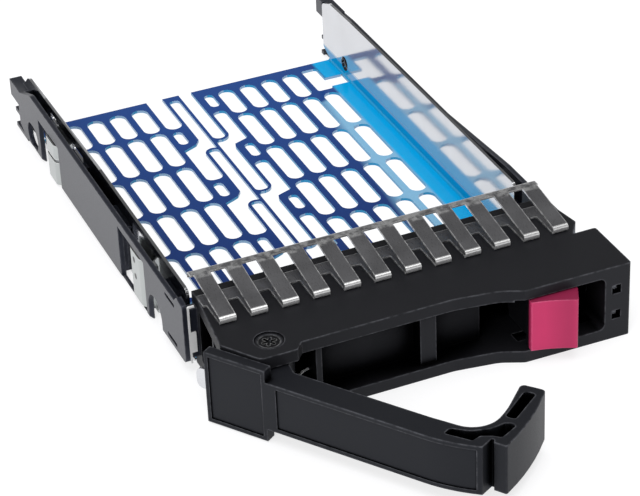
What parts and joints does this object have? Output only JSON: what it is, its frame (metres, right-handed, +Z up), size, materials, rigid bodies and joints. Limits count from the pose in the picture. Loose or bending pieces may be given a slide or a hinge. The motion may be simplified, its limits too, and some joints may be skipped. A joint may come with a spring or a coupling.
{
  "type": "hot swap drive caddy",
  "caption": "Drive tray with a slotted folded sheet floor, side rails, a front bezel with a spring strip, a swinging latch lever and a sliding release button.",
  "frame": {"origin": "on the underside's plane, on the middle line of the drive bay, at the front of the bezel's right block", "axes": "+Y from the bezel to the rear of the cage, +X to the right seen from the front, +Z up"},
  "size_m": [0.0819, 0.1705, 0.0193],
  "materials": {
    "tray_sheet": "stainless sheet, blue film on the floor",
    "rail_plastic": "satin black moulding",
    "bezel_plastic": "finely grained black moulding",
    "lever_plastic": "satin black moulding",
    "button_plastic": "satin magenta moulding",
    "strip_steel": "bright spring steel",
    "contact_steel": "bright spring steel",
    "cam_steel": "pressed steel",
    "pin_steel": "zinc plated",
    "pin_dark": "blackened steel",
    "coil_steel": "spring wire",
    "light_pipe": "clear moulding"
  },
  "bodies": {
    "caddy": {"tray": "tray_sheet", "left_rail": "rail_plastic", "right_rail": "rail_plastic", "rail_clip": "contact_steel", "left_front_spring": "contact_steel", "left_rear_spring": "contact_steel", "right_front_spring": "contact_steel", "right_rear_spring": "contact_steel", "bezel": "bezel_plastic", "light_pipe_lower": "light_pipe", "light_pipe_upper": "light_pipe", "bezel_screws": "pin_steel", "emi_strip": "strip_steel", "pivot_pin": "pin_dark", "lever_spring": "coil_steel", "button_spring": "coil_steel"},
    "lever": {"latch_lever": "lever_plastic", "lever_cam_plate": "cam_steel"},
    "button": {"release_button": "button_plastic"}
  },
  "joints": [
    {"name": "lever_swing", "type": "hinge", "parent": "caddy", "child": "lever", "pos_m": [-0.0284, 0.00686, 0.008], "axis": [0, 0, 1], "range_deg": [0, 55], "stiffness_Nm_per_rad": 0.03, "springref_deg": -17.19, "deforming": ["lever_spring"]},
    {"name": "button_slide", "type": "slide", "parent": "caddy", "child": "button", "axis": [1, 0, 0], "range_m": [0, 0.0036], "stiffness_N_per_m": 600, "springref_m": -0.001, "deforming": ["button_spring"]}
  ]
}
